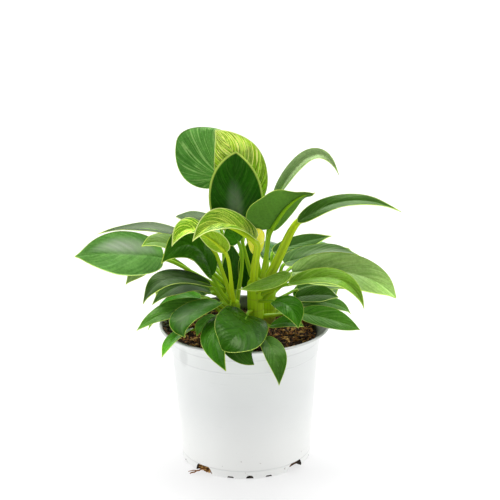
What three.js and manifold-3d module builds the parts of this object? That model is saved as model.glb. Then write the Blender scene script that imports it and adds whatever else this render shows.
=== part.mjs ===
// Philodendron birkin in a white nursery pot, millimetres, +Z up.
// The origin is the middle of the flat underside of the pot; the front is -Y.
import * as THREE from "three";
import { mergeVertices } from "three/addons/utils/BufferGeometryUtils.js";
import Module from "manifold-3d";

const wasm = await Module();
wasm.setup();

// ---------------------------------------------------------------- sizes

const GAP = 0.3; // clearance kept between neighbouring pieces

const POT = {
  height: 116,
  footRadius: 53,
  topRadius: 61.5, // outside of the wall, just under the lip
  wall: 1.6,
  floor: 2.5,
  lipRadius: 70, // the lip flares out like a funnel
  lipEdge: 1.6, // height of its rounded outer edge
  lipOuter: 110.4, // where the flare starts on the outside
  lipInner: 108.8, // and on the inside
  collarHeight: 105.2, // the upper ridge, under the plain band below the lip
  ridgeHeight: 94,
  ridgeStep: 0.9,
  segments: 40,
};

// Drain notches through the foot of the wall and the edge of the floor.
const FOOT_NOTCH = { angles: [-41, 49, 139, -131], width: 18, height: 7, inside: 44 };
// Low arches in the foot, three between every two notches.
const FOOT_ARCH = { quarters: [3, 93, 183, 273], spread: 17, width: 6, height: 2.8, inside: 48 };

const SOIL = { rim: 106.5, crown: 109.5, ripple: 0.7, socketDepth: 22 };

// Short crowns that the leaves grow from: place, radius and height of the top.
const CROWNS = [
  { at: [9, -8], radius: 7, top: 157 },
  { at: [-8, -12], radius: 5, top: 140 },
  { at: [20, 11], radius: 6, top: 150 },
  { at: [-10, 15], radius: 6, top: 152 },
];

const BLADE = {
  thickness: 0.9,
  fold: 10, // degrees, where a leaf states none of its own
  lobe: 0.04,
  widest: 0.42, // share of the length at which the blade is widest
  midAt: 0.45, // share of the length at which the midrib passes its mid point
  from: 0.04, // the rows of the sheet run between these two shares
  to: 0.985,
  rows: 6,
  columns: 4,
};

const STALK = {
  radius: 1.7, // where a leaf states none of its own
  tuck: 0.75, // how deep it sits under the blade, over its radius
  underBlade: 0.06, // how far it runs on under the midrib, over the blade's length
  sides: 5,
  steps: 6,
};

// ---------------------------------------------------------------- leaves
// crown: which crown the leaf grows from, at which height and bearing
//        (degrees, 0 = right, -90 = front)
// base, mid, tip: the midrib, from the top of the stalk to the point of the blade
// face: the way that the upper side looks, at mid
// half: half of the width; fold: how far both sides are raised, in degrees
// left: width of the left half over that of the right, seen from above with the tip ahead
// lobe: how far the two lobes reach back past the base, over the length
// widest: share of the length at which the blade is widest
// blunt: how round the tip is, 0 to 1; twist: turn of the blade at its base, in degrees
// stalk: radius of the leaf stalk; bend: a point that the stalk passes near
// cut: share of the length that is left, on a blade that has lost its tip

const LEAVES = [
  // tall leaves at the top
  { crown: [3, 110, 150], base: [-22, 20, 224], mid: [-23, 31, 246], tip: [-17, 45, 267],
    face: [-0.2, -0.9, 0.35], half: 12, left: 2.75, fold: 8, lobe: 0, widest: 0.64, blunt: 0.8, bend: [-12, 30, 185] },
  { crown: [2, 165, 149], base: [0, 14, 210], mid: [-3, 14, 243], tip: [-22, 8, 275],
    face: [0.1, -1, 0.1], half: 21.5, fold: 12, blunt: 0.3 },
  { crown: [0, 120, 156], base: [-3, -5, 197], mid: [-6, -2, 228], tip: [-5, 6, 258],
    face: [0, -1, 0.2], half: 23, fold: 20, widest: 0.34, blunt: 0.55 },
  { crown: [0, -25, 156], base: [22, -6, 197], mid: [36, -20, 221], tip: [55, -46, 236],
    face: [-0.2, 0.65, 0.7], half: 28, left: 0.4, fold: 6, lobe: 0.12, widest: 0.26, blunt: 1, stalk: 2, bend: [19, -3, 176] },
  { crown: [0, -100, 156], base: [10, -22, 193], mid: [-15, -32, 209], tip: [-40, -46, 198],
    face: [-0.1, -0.5, 0.85], half: 13, fold: 25, stalk: 3 },
  { crown: [2, 110, 149], base: [27, 12, 219], mid: [54, 9, 252], tip: [77, 0, 237],
    face: [0.3, -0.6, 0.75], half: 7, fold: 25, widest: 0.22 },
  { crown: [0, 10, 148], base: [43, -6, 202], mid: [81, 0, 217], tip: [128, 0, 207],
    face: [0, -0.5, 0.85], half: 7.5, fold: 12, lobe: 0, widest: 0.35, twist: 35, stalk: 3.2 },
  // left side
  { crown: [1, 120, 139], base: [-25, -8, 183], mid: [-41, -16, 200], tip: [-57, -26, 188],
    face: [-0.2, -0.5, 0.85], half: 10.5, fold: 25 },
  { crown: [1, 175, 136], base: [-26, -6, 158], mid: [-40, -14, 186], tip: [-66, -26, 174],
    face: [-0.3, -0.6, 0.7], half: 17 },
  { crown: [1, 260, 139], base: [-14, -30, 185], mid: [-23, -33, 195], tip: [-37, -34, 204],
    face: [0.1, 0.9, 0.3], half: 8.5, blunt: 0.3 },
  { crown: [3, 130, 138], base: [-22, 40, 190], mid: [-40, 45, 192], tip: [-57, 50, 192],
    face: [0, -0.15, 1], half: 10, fold: 10, blunt: 0.7 },
  { crown: [3, 150, 146], base: [-45, 40, 174], mid: [-79, 50, 182], tip: [-125, 58, 175],
    face: [0, -0.1, 1], half: 10, fold: 10 },
  { crown: [3, 190, 138], base: [-66, 5, 170], mid: [-99, -5, 177], tip: [-136, -12, 177],
    face: [0.05, -0.75, 0.65], half: 19.5, fold: 5 },
  { crown: [3, 210, 144], base: [-32, 2, 165], mid: [-59, -4, 184], tip: [-82, -10, 184],
    face: [0, -0.3, 0.95], half: 12 },
  { crown: [3, 165, 130], base: [-70, 34, 164], mid: [-84, 36, 155], tip: [-100, 38, 136],
    face: [0.2, -0.8, 0.6], half: 9 },
  { crown: [1, 215, 130], base: [-27, -12, 152], mid: [-58, -28, 163], tip: [-80, -40, 145],
    face: [-0.3, -0.45, 0.85], half: 11 },
  { crown: [3, 240, 134], base: [-28, -4, 144], mid: [-49, -13, 152], tip: [-74, -26, 140],
    face: [-0.3, -0.4, 0.85], half: 13 },
  { crown: [1, 180, 122], base: [-27, -14, 136], mid: [-57, -30, 137], tip: [-86, -42, 124],
    face: [-0.3, -0.5, 0.8], half: 10 },
  { crown: [3, 200, 122], base: [-36, 10, 134], mid: [-59, 8, 130], tip: [-80, 4, 108],
    face: [-0.3, -0.2, 0.9], half: 11 },
  { crown: [1, 250, 132], base: [-20, -26, 142], mid: [-45, -48, 138], tip: [-46, -58, 124],
    face: [-0.5, -0.6, 0.6], half: 13 },
  { crown: [1, 205, 116], base: [-43, -34, 123], mid: [-55, -50, 121], tip: [-65, -63, 109],
    face: [-0.5, -0.4, 0.8], half: 7.5, stalk: 1.2, bend: [-28, -26, 114] },
  { crown: [1, 235, 124], base: [-24, -26, 131], mid: [-32, -34, 127], tip: [-38, -42, 119],
    face: [-0.5, -0.5, 0.7], half: 7, stalk: 1.2 },
  // front
  { crown: [1, 265, 124], base: [-16, -32, 134], mid: [-23, -60, 127], tip: [-14, -86, 106],
    face: [-0.4, -0.8, 0.4], half: 12, blunt: 0.1 },
  { crown: [0, 235, 130], base: [2, -44, 137], mid: [-4, -78, 137], tip: [-17, -97, 128],
    face: [0.1, -0.8, 0.6], half: 20.5, fold: 3, lobe: 0.3, widest: 0.4, blunt: 0.55, stalk: 1.3 },
  { crown: [1, 285, 116], base: [-14, -58, 125], mid: [1, -73, 119], tip: [24, -75, 115],
    face: [0.1, -0.9, 0.4], half: 12, cut: 0.62 },
  { crown: [0, 270, 122], base: [15, -57, 123], mid: [23, -78, 117], tip: [26, -89, 95],
    face: [0.3, -0.9, 0.3], half: 9, stalk: 1.3 },
  { crown: [0, 300, 138], base: [24, -30, 144], mid: [36, -44, 143], tip: [42, -52, 128],
    face: [0.3, -0.8, 0.5], half: 10, stalk: 1.3 },
  { crown: [0, 310, 118], base: [21, -34, 125], mid: [34, -42, 130], tip: [47, -44, 127],
    face: [0, -0.3, 0.9], half: 8, stalk: 1.2 },
  // right side
  { crown: [0, 350, 124], base: [45, -10, 127], mid: [69, -22, 125], tip: [93, -26, 117],
    face: [0.2, -0.6, 0.75], half: 10.5 },
  { crown: [2, 20, 118], base: [46, 20, 124], mid: [71, 24, 123], tip: [89, 26, 112],
    face: [0, -0.4, 0.9], half: 8, stalk: 1.2 },
  { crown: [2, -30, 126], base: [42, 4, 135], mid: [60, 2, 138], tip: [77, 0, 136],
    face: [0, -0.5, 0.85], half: 9, stalk: 1.4 },
  { crown: [2, 5, 130], base: [44, 18, 138], mid: [67, 21, 141], tip: [89, 22, 134],
    face: [0, -0.4, 0.9], half: 8, stalk: 1.4 },
  { crown: [2, 40, 136], base: [46, 32, 148], mid: [61, 38, 146], tip: [72, 44, 139],
    face: [0, -0.4, 0.9], half: 10, stalk: 1.4 },
  { crown: [0, -20, 138], base: [39, -6, 160], mid: [86, -14, 161], tip: [122, -20, 141],
    face: [0.15, -0.65, 0.75], half: 17, blunt: 0.25 },
  { crown: [0, -38, 144], base: [36, -22, 156], mid: [72, -32, 162.5], tip: [95, -38, 138],
    face: [0.3, -0.6, 0.75], half: 8.5, fold: 18 },
  { crown: [2, -10, 142], base: [33, 10, 163], mid: [61, 14, 168], tip: [95, 10, 168],
    face: [0, -0.4, 0.9], half: 12.5, blunt: 0.2 },
  { crown: [2, 50, 142], base: [24, 24, 168], mid: [46, 32, 173], tip: [74, 36, 178],
    face: [0, -0.8, 0.6], half: 7, fold: 10 },
  // middle
  { crown: [0, -80, 146], base: [36, -26, 166], mid: [19, -37, 160], tip: [-5, -48, 160],
    face: [0, -0.3, 0.95], half: 8, stalk: 1.4 },
  { crown: [1, 60, 132], base: [-8, 6, 142], mid: [-9, 6, 160], tip: [-10, 6, 183],
    face: [0, -1, 0.1], half: 9, stalk: 1.4 },
  { crown: [0, 130, 140], base: [3, 2, 143], mid: [3, 2, 163], tip: [3, 2, 184],
    face: [0, -1, 0.1], half: 8, stalk: 1.4 },
  { crown: [1, 60, 136], base: [-4, -13, 188], mid: [-8, -12, 194], tip: [-11, -10, 203],
    face: [0, -0.8, 0.6], half: 9 },
  { crown: [0, 60, 154], base: [10, -11, 177], mid: [10, -12, 188], tip: [11, -15, 200],
    face: [0, -1, 0.1], half: 7, fold: -15, widest: 0.6, blunt: 0.9, color: 0xd6e04a },
  // back
  { crown: [3, 60, 151], base: [0, 34, 180], mid: [2, 56, 197], tip: [4, 86, 188],
    face: [0, -0.1, 1], half: 17 },
  { crown: [3, 165, 136], base: [-40, 34, 163], mid: [-68, 56, 170], tip: [-100, 80, 158],
    face: [-0.2, 0.2, 1], half: 17 },
  { crown: [2, 62, 132], base: [40, 44, 150], mid: [67, 66, 158], tip: [96, 90, 142],
    face: [0.2, 0.2, 1], half: 17 },
  { crown: [3, 95, 138], base: [-8, 42, 140], mid: [-14, 68, 146], tip: [-20, 104, 124],
    face: [0, 0.4, 1], half: 15 },
  { crown: [2, 45, 120], base: [44, 36, 124], mid: [64, 54, 129], tip: [80, 78, 112],
    face: [0.3, 0.3, 1], half: 13 },
  { crown: [3, 135, 120], base: [-34, 36, 127], mid: [-57, 54, 131], tip: [-78, 76, 110],
    face: [-0.3, 0.3, 1], half: 13 },
  { crown: [3, 100, 124], base: [-22, 50, 122], mid: [-32, 76, 125], tip: [-38, 100, 104],
    face: [-0.1, 0.4, 1], half: 12 },
  { crown: [2, 85, 126], base: [8, 50, 124], mid: [16, 78, 127], tip: [22, 103, 106],
    face: [0.1, 0.4, 1], half: 13 },
  { crown: [3, 110, 132], base: [-24, 44, 164], mid: [-34, 70, 176], tip: [-46, 100, 164],
    face: [-0.1, 0.2, 1], half: 13 },
  { crown: [2, 95, 146], base: [20, 40, 156], mid: [29, 68, 161], tip: [38, 99, 143],
    face: [0.1, 0.2, 1], half: 13 },
];

// ---------------------------------------------------------------- solids

const vector = (p) => new THREE.Vector3(p[0], p[1], p[2]);

function solidOf(geometry) {
  const bare = new THREE.BufferGeometry();
  bare.setAttribute("position", geometry.getAttribute("position").clone());
  if (geometry.index) {
    bare.setIndex(geometry.index.clone());
  }
  const merged = mergeVertices(bare, 1e-4);
  return new wasm.Manifold(new wasm.Mesh({
    numProp: 3,
    vertProperties: new Float32Array(merged.getAttribute("position").array),
    triVerts: new Uint32Array(merged.index.array),
  }));
}

function geometryOf(solid) {
  const mesh = solid.getMesh();
  const geometry = new THREE.BufferGeometry();
  geometry.setAttribute("position", new THREE.BufferAttribute(mesh.vertProperties, 3));
  geometry.setIndex(new THREE.BufferAttribute(mesh.triVerts, 1));
  geometry.computeVertexNormals();
  return geometry;
}

function largestBody(solid) {
  const bodies = solid.decompose();
  return bodies.reduce((a, b) => (b.volume() > a.volume() ? b : a));
}

// A profile of [radius, height] points turned about the Z axis.
function turned(profile, segments) {
  const points = profile.map(([r, z]) => new THREE.Vector2(r, z));
  const geometry = new THREE.LatheGeometry(points, segments);
  geometry.rotateX(Math.PI / 2);
  return geometry;
}

function tube(curve, radius, sides, steps) {
  const section = new THREE.Shape();
  for (let i = 0; i < sides; i += 1) {
    const angle = (2 * Math.PI * i) / sides;
    const x = radius * Math.cos(angle);
    const y = radius * Math.sin(angle);
    if (i === 0) {
      section.moveTo(x, y);
    } else {
      section.lineTo(x, y);
    }
  }
  section.closePath();
  return new THREE.ExtrudeGeometry(section, { steps, bevelEnabled: false, extrudePath: curve });
}

// ---------------------------------------------------------------- leaf blade

// Half of the outline, as [along, across], from the base (0, 0) to the tip (1, 0).
function marginPoint(t, leaf) {
  const lobe = leaf.lobe ?? BLADE.lobe;
  const blunt = leaf.blunt ?? 0;
  const widest = leaf.widest ?? BLADE.widest;
  const p = new THREE.Vector2();
  if (t < widest) {
    const back = new THREE.CubicBezierCurve(
      new THREE.Vector2(0, 0),
      new THREE.Vector2(-lobe, 0.5),
      new THREE.Vector2(0.24 * widest - 0.6 * lobe, 1),
      new THREE.Vector2(widest, 1),
    );
    return back.getPoint(t / widest, p);
  }
  const towardsTip = (share) => THREE.MathUtils.lerp(widest, 1, share);
  const front = new THREE.CubicBezierCurve(
    new THREE.Vector2(widest, 1),
    new THREE.Vector2(towardsTip(0.48), 1),
    new THREE.Vector2(towardsTip(0.76 + 0.12 * blunt), 0.2 + 0.5 * blunt),
    new THREE.Vector2(1, 0),
  );
  return front.getPoint((t - widest) / (1 - widest), p);
}

// The midrib, which passes through base, mid and tip, with a frame at each step.
function midribFrames(leaf) {
  const base = vector(leaf.base);
  const mid = vector(leaf.mid);
  const tip = vector(leaf.tip);
  const t = BLADE.midAt;
  const control = mid.clone()
    .addScaledVector(base, -((1 - t) ** 2))
    .addScaledVector(tip, -(t ** 2))
    .divideScalar(2 * t * (1 - t));
  const curve = new THREE.QuadraticBezierCurve3(base, control, tip);
  const steps = 20;
  const frames = [];
  for (let i = 0; i <= steps; i += 1) {
    const s = i / steps;
    frames.push({ point: curve.getPoint(s), tangent: curve.getTangent(s) });
  }
  const across = (normal, tangent) =>
    normal.clone().addScaledVector(tangent, -normal.dot(tangent)).normalize();
  const middle = Math.round(t * steps);
  frames[middle].normal = across(vector(leaf.face), frames[middle].tangent);
  for (let i = middle + 1; i <= steps; i += 1) {
    frames[i].normal = across(frames[i - 1].normal, frames[i].tangent);
  }
  for (let i = middle - 1; i >= 0; i -= 1) {
    frames[i].normal = across(frames[i + 1].normal, frames[i].tangent);
  }
  const twist = THREE.MathUtils.degToRad(leaf.twist ?? 0);
  for (let i = 0; i < middle; i += 1) {
    const share = 1 - i / middle;
    frames[i].normal.applyAxisAngle(frames[i].tangent, twist * share * share);
  }
  for (const frame of frames) {
    frame.side = new THREE.Vector3().crossVectors(frame.normal, frame.tangent);
  }
  return frames;
}

function frameAt(frames, s) {
  const last = frames.length - 1;
  const place = THREE.MathUtils.clamp(s, 0, 1) * last;
  const i = Math.min(Math.floor(place), last - 1);
  const f = place - i;
  const blend = (key) => frames[i][key].clone().lerp(frames[i + 1][key], f);
  const frame = { point: blend("point"), normal: blend("normal"), side: blend("side") };
  if (s < 0) {
    const length = frames[0].point.distanceTo(frames[last].point);
    frame.point.addScaledVector(frames[0].tangent, s * length);
  }
  return frame;
}

// A sheet of even thickness, closed at its margin. across runs from -1 to 1.
function bladeGeometry(leaf, frames) {
  const { rows, columns, thickness } = BLADE;
  const fold = THREE.MathUtils.degToRad(leaf.fold ?? BLADE.fold);
  const left = leaf.left ?? 1;
  const end = leaf.cut ?? BLADE.to;
  const corners = [];
  for (const side of [0.5, -0.5]) {
    for (let i = 0; i <= rows; i += 1) {
      const t = THREE.MathUtils.lerp(BLADE.from, end, i / rows);
      const margin = marginPoint(t, leaf);
      const rib = t ** 1.2;
      for (let j = 0; j <= columns; j += 1) {
        const v = (2 * j) / columns - 1;
        const along = THREE.MathUtils.lerp(rib, margin.x, Math.abs(v));
        const reach = v * margin.y * leaf.half * (v > 0 ? left : 1);
        const frame = frameAt(frames, along);
        const rise = Math.abs(reach) * Math.sin(fold) + side * thickness;
        corners.push(frame.point
          .addScaledVector(frame.side, reach * Math.cos(fold))
          .addScaledVector(frame.normal, rise));
      }
    }
  }
  const width = columns + 1;
  const under = width * (rows + 1);
  const faces = [];
  const quad = (a, b, c, d) => faces.push(a, b, c, a, c, d);
  for (let i = 0; i < rows; i += 1) {
    for (let j = 0; j < columns; j += 1) {
      const a = i * width + j;
      const b = a + 1;
      const c = b + width;
      const d = a + width;
      if (j < columns / 2) {
        faces.push(a, d, c, a, c, b);
        faces.push(under + a, under + c, under + d, under + a, under + b, under + c);
      } else {
        faces.push(a, d, b, b, d, c);
        faces.push(under + a, under + b, under + d, under + b, under + c, under + d);
      }
    }
  }
  for (let j = 0; j < columns; j += 1) {
    const last = rows * width + j;
    quad(j, j + 1, under + j + 1, under + j);
    quad(last, under + last, under + last + 1, last + 1);
  }
  for (let i = 0; i < rows; i += 1) {
    const left = i * width;
    const right = left + columns;
    quad(left, under + left, under + left + width, left + width);
    quad(right, right + width, under + right + width, under + right);
  }
  const geometry = new THREE.BufferGeometry();
  const numbers = corners.flatMap((p) => [p.x, p.y, p.z]);
  geometry.setAttribute("position", new THREE.Float32BufferAttribute(numbers, 3));
  geometry.setIndex(faces);
  return geometry;
}

// ---------------------------------------------------------------- leaf stalk

function stalkRoot(leaf) {
  const [index, bearing, height] = leaf.crown;
  const crown = CROWNS[index];
  const angle = THREE.MathUtils.degToRad(bearing);
  const out = new THREE.Vector3(Math.cos(angle), Math.sin(angle), 0);
  const root = new THREE.Vector3(crown.at[0], crown.at[1], height);
  return { root: root.addScaledVector(out, crown.radius - 1), out };
}

// From inside the crown's side, up and out, and on under the first part of the midrib.
function stalkCurve(leaf, frames, radius) {
  const { root, out } = stalkRoot(leaf);
  const base = vector(leaf.base);
  const reach = root.distanceTo(base);
  const first = leaf.bend ? vector(leaf.bend) : root.clone()
    .lerp(base, 0.3)
    .addScaledVector(out, 0.12 * reach)
    .setZ(THREE.MathUtils.lerp(root.z, base.z, 0.45));
  const arrival = base.clone().sub(first).normalize().add(frames[0].tangent).normalize();
  const second = base.clone().addScaledVector(arrival, -0.25 * reach);
  const stalk = new THREE.CubicBezierCurve3(root, first, second, base);
  const points = [0, 0.2, 0.4, 0.6, 0.8].map((t) => stalk.getPoint(t));
  for (const s of [0, STALK.underBlade]) {
    const frame = frameAt(frames, s);
    points.push(frame.point.addScaledVector(frame.normal, -STALK.tuck * radius));
  }
  return new THREE.CatmullRomCurve3(points);
}

function leafSolid(leaf, crownSleeve) {
  const frames = midribFrames(leaf);
  const radius = leaf.stalk ?? STALK.radius;
  const blade = solidOf(bladeGeometry(leaf, frames));
  const stalk = solidOf(tube(stalkCurve(leaf, frames, radius), radius, STALK.sides, STALK.steps));
  return largestBody(blade.add(stalk).subtract(crownSleeve));
}

// ---------------------------------------------------------------- crowns, soil, pot

function crownGeometry(crown, grow) {
  const r = crown.radius + grow;
  const foot = SOIL.crown - SOIL.socketDepth;
  const bottom = foot - grow;
  const top = crown.top + grow;
  const geometry = turned([
    [0, bottom],
    [0.8 * r, bottom],
    [r, foot + 4],
    [r, top - 0.9 * r],
    [0.75 * r, top - 0.3 * r],
    [0.3 * r, top],
    [0, top],
  ], 10);
  return geometry.translate(crown.at[0], crown.at[1], 0);
}

// Inner radius of the pot's wall at a height.
function innerRadius(z) {
  const slope = (POT.topRadius - POT.footRadius) / POT.height;
  return POT.footRadius + slope * z - POT.wall;
}

// A bar that points away from the pot's axis at a bearing (degrees, 0 = front),
// with a flat top and leaning sides.
function footCutter(bearing, { width, height, inside }) {
  const outline = new THREE.Shape();
  outline.moveTo(-0.5 * width, -1);
  outline.lineTo(0.5 * width, -1);
  outline.lineTo(0.5 * width, 0.3 * height);
  outline.lineTo(0.3 * width, height);
  outline.lineTo(-0.3 * width, height);
  outline.lineTo(-0.5 * width, 0.3 * height);
  outline.closePath();
  const depth = POT.footRadius + 5 - inside;
  const geometry = new THREE.ExtrudeGeometry(outline, { depth, bevelEnabled: false });
  geometry.rotateX(Math.PI / 2);
  geometry.translate(0, -inside, 0);
  geometry.rotateZ(THREE.MathUtils.degToRad(bearing));
  return geometry;
}

function potSolid() {
  const { height, footRadius, topRadius, wall, floor, lipRadius, lipEdge, lipOuter, lipInner } = POT;
  const outer = (z) => innerRadius(z) + wall;
  const collar = POT.collarHeight;
  const profile = [
    [0, 0],
    [footRadius - 1.5, 0],
    [footRadius, 1.5],
    [outer(POT.ridgeHeight), POT.ridgeHeight],
    [outer(POT.ridgeHeight) + POT.ridgeStep, POT.ridgeHeight + 0.6],
    [outer(collar) + POT.ridgeStep, collar],
    [outer(collar) + 2 * POT.ridgeStep, collar + 0.6],
    [topRadius + 2 * POT.ridgeStep, lipOuter],
    [lipRadius - 0.8, height - lipEdge - 0.4],
    [lipRadius, height - lipEdge],
    [lipRadius, height - 0.6],
    [lipRadius - 0.6, height],
    [lipRadius - 1.6, height],
    [lipRadius - 2.4, height - 0.5],
    [innerRadius(lipInner), lipInner],
    [innerRadius(floor), floor],
    [0, floor],
  ];
  let pot = solidOf(turned(profile, POT.segments));
  for (const bearing of FOOT_NOTCH.angles) {
    pot = pot.subtract(solidOf(footCutter(bearing, FOOT_NOTCH)));
  }
  for (const quarter of FOOT_ARCH.quarters) {
    for (const step of [-1, 0, 1]) {
      const bearing = quarter + step * FOOT_ARCH.spread;
      pot = pot.subtract(solidOf(footCutter(bearing, FOOT_ARCH)));
    }
  }
  return pot;
}

// A thin root that has grown out through the notch at the front left.
function rootGeometry() {
  const path = new THREE.CatmullRomCurve3([
    new THREE.Vector3(-27, -31, 6),
    new THREE.Vector3(-34, -38, 4),
    new THREE.Vector3(-40, -41, 2.5),
    new THREE.Vector3(-46, -43, 1.2),
  ]);
  return tube(path, 0.8, 5, 6);
}

function soilSolid(crownSleeves) {
  const foot = POT.floor + GAP;
  const side = (z) => innerRadius(z) - GAP;
  const rings = [0.8, 0.5, 0.22];
  const profile = [
    [0, foot],
    [side(foot), foot],
    [side(SOIL.rim), SOIL.rim],
  ];
  for (const share of rings) {
    const height = THREE.MathUtils.lerp(SOIL.crown, SOIL.rim, share * share);
    profile.push([share * side(SOIL.rim), height]);
  }
  profile.push([0, SOIL.crown]);
  const geometry = turned(profile, 24);
  const position = geometry.getAttribute("position");
  for (let i = 0; i < position.count; i += 1) {
    const x = position.getX(i);
    const y = position.getY(i);
    const z = position.getZ(i);
    if (z > SOIL.rim + 0.1 && Math.hypot(x, y) > 1) {
      position.setZ(i, z + SOIL.ripple * Math.sin(0.23 * x + 1) * Math.cos(0.19 * y - 0.5));
    }
  }
  let soil = solidOf(geometry);
  for (const sleeve of crownSleeves) {
    soil = soil.subtract(sleeve);
  }
  return soil.add(solidOf(rootGeometry()));
}

// ---------------------------------------------------------------- the object

const object = new THREE.Group();

function place(name, solid, color, roughness) {
  const material = new THREE.MeshStandardMaterial({ color, roughness, metalness: 0, flatShading: true });
  const mesh = new THREE.Mesh(geometryOf(solid), material);
  mesh.name = name;
  object.add(mesh);
}

const sleeves = CROWNS.map((crown) => solidOf(crownGeometry(crown, GAP)));
const allSleeves = sleeves.reduce((a, b) => a.add(b));

place("pot", potSolid(), 0xf4f6f4, 0.35);
place("soil", soilSolid(sleeves), 0x4a2c18, 0.95);
CROWNS.forEach((crown, i) => place(`crown_${i + 1}`, solidOf(crownGeometry(crown, 0)), 0x9bb53a, 0.5));
LEAVES.forEach((leaf, i) => {
  const name = `leaf_${String(i + 1).padStart(2, "0")}`;
  place(name, leafSolid(leaf, allSleeves), leaf.color ?? 0x2f6b2c, 0.4);
});

export default object;
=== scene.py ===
import math
import random
from functools import partialmethod

import bpy
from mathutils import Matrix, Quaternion, Vector, noise


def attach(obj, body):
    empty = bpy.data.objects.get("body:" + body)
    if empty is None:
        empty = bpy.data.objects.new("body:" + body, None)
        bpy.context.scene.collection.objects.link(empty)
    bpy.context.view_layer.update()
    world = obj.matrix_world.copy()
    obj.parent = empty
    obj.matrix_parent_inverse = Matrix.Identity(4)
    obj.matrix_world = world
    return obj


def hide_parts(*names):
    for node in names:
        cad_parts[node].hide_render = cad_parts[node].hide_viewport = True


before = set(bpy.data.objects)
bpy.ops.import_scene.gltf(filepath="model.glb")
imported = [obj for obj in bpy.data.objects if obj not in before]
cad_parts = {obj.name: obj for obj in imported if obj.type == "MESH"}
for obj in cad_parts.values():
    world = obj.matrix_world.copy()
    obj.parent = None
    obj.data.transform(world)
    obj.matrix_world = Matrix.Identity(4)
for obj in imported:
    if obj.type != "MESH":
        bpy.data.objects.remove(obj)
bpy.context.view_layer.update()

MM = 0.001
TURN = 6.283  # a full turn in radians, as exact as ripples and crumbs need it


def place_object(name, data):
    obj = bpy.data.objects.new(name, data)
    bpy.context.scene.collection.objects.link(obj)
    return obj


# ---- camera

AIM = Vector((5, 0, 177.4)) * MM
# in metres, degrees, millimetres and image points
CAMERA = {"distance": 1.2, "elevation": 16.9, "roll": -0.66, "sensor": 36, "focal_px": 1488, "image_px": 500}


def make_camera():
    e = math.radians(CAMERA["elevation"])
    back = Vector((0, -math.cos(e), math.sin(e)))
    data = bpy.data.cameras.new("camera")
    data.sensor_width = CAMERA["sensor"]
    data.lens = CAMERA["sensor"] * CAMERA["focal_px"] / CAMERA["image_px"]
    camera = place_object("camera", data)
    camera.location = AIM + back * CAMERA["distance"]
    turn = (-back).to_track_quat("-Z", "Y").to_matrix()
    right, up = turn.col[0].copy(), turn.col[1].copy()
    r = math.radians(CAMERA["roll"])
    turn.col[0] = right * math.cos(r) + up * math.sin(r)
    turn.col[1] = up * math.cos(r) - right * math.sin(r)
    camera.rotation_mode = "QUATERNION"
    camera.rotation_quaternion = turn.to_quaternion()
    bpy.context.scene.camera = camera


make_camera()

# ---- small helpers


def clamp(x, low=0.0, high=1.0):
    return max(low, min(high, x))


def mix(a, b, t):
    return a + (b - a) * t


def smooth(low, high, x):
    t = clamp((x - low) / (high - low))
    return t * t * (3 - 2 * t)


def angles(count):
    return [math.tau * k / count for k in range(count)]


def polar(radius, angle):
    return radius * math.cos(angle), radius * math.sin(angle)


def mesh_object(name, points, faces, materials, uvs=None, layers=None, face_slots=None, smooth_shade=True):
    """points in millimetres; uvs and layers hold one value a point."""
    mesh = bpy.data.meshes.new(name)
    mesh.from_pydata([tuple(MM * c for c in p) for p in points], [], faces)
    if uvs is not None:
        layer = mesh.uv_layers.new(name="surface")
        for loop in mesh.loops:
            layer.data[loop.index].uv = uvs[loop.vertex_index]
    for key, values in (layers or {}).items():
        attribute = mesh.attributes.new(key, "FLOAT", "POINT")
        attribute.data.foreach_set("value", values)
    for material in materials:
        mesh.materials.append(material)
    if face_slots is not None:
        mesh.polygons.foreach_set("material_index", face_slots)
    mesh.polygons.foreach_set("use_smooth", [smooth_shade] * len(mesh.polygons))
    mesh.update()
    return place_object(name, mesh)


def dress(obj, node):
    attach(obj, "root")
    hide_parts(node)


# ---- material helpers


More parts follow.
